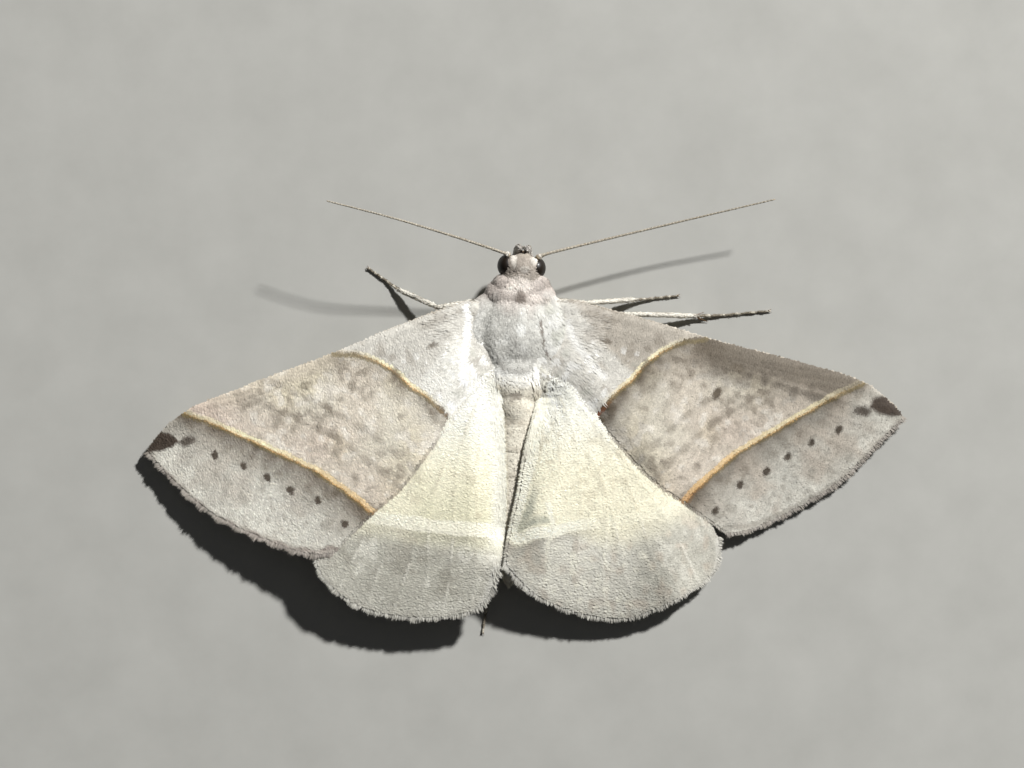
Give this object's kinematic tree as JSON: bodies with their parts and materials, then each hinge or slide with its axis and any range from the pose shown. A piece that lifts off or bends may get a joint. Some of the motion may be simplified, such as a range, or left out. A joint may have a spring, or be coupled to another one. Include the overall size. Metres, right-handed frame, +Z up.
{
  "type": "moth",
  "caption": "Medium-sized erebine moth at rest, wings spread flat and roof-low over the body, standing on its feet, as a still life-size museum model.",
  "frame": {"origin": "bottom centre of the whole moth's box, on the floor that its feet stand on", "axes": "+Z up from the floor, +Y the way the head points, +X towards the moth's right wing tip"},
  "size_m": [0.0402, 0.023, 0.0048],
  "materials": {
    "body_scales": "matt grey hair-scales",
    "head_scales": "matt grey-brown hair-scales",
    "abdomen_scales": "matt buff scales",
    "forewing_scales": "matt grey-brown scales with cream lines",
    "hindwing_scales": "matt cream and grey scales",
    "leg_scales": "smooth pale scales",
    "feeler_scales": "fine ringed scales",
    "eye_lens": "dark glossy facets",
    "horn": "brown horny cuticle"
  },
  "bodies": {
    "root": {"head": "head_scales", "palp_right": "head_scales", "palp_left": "head_scales", "proboscis": "horn", "eye_right": "eye_lens", "eye_left": "eye_lens", "antenna_right": "feeler_scales", "antenna_left": "feeler_scales", "collar": "body_scales", "thorax": "body_scales", "abdomen": "abdomen_scales", "forewing_right": "forewing_scales", "forewing_left": "forewing_scales", "hindwing_right": "hindwing_scales", "hindwing_left": "hindwing_scales", "foreleg_right_femur": "leg_scales", "foreleg_right_tibia": "leg_scales", "foreleg_right_tarsus": "leg_scales", "midleg_right_femur": "leg_scales", "midleg_right_tibia": "leg_scales", "midleg_right_tarsus": "leg_scales", "hindleg_right_femur": "leg_scales", "hindleg_right_tibia": "leg_scales", "hindleg_right_tarsus": "leg_scales", "foreleg_left_femur": "leg_scales", "foreleg_left_tibia": "leg_scales", "foreleg_left_tarsus": "leg_scales", "midleg_left_femur": "leg_scales", "midleg_left_tibia": "leg_scales", "midleg_left_tarsus": "leg_scales", "hindleg_left_femur": "leg_scales", "hindleg_left_tibia": "leg_scales", "hindleg_left_tarsus": "leg_scales"}
  },
  "joints": []
}
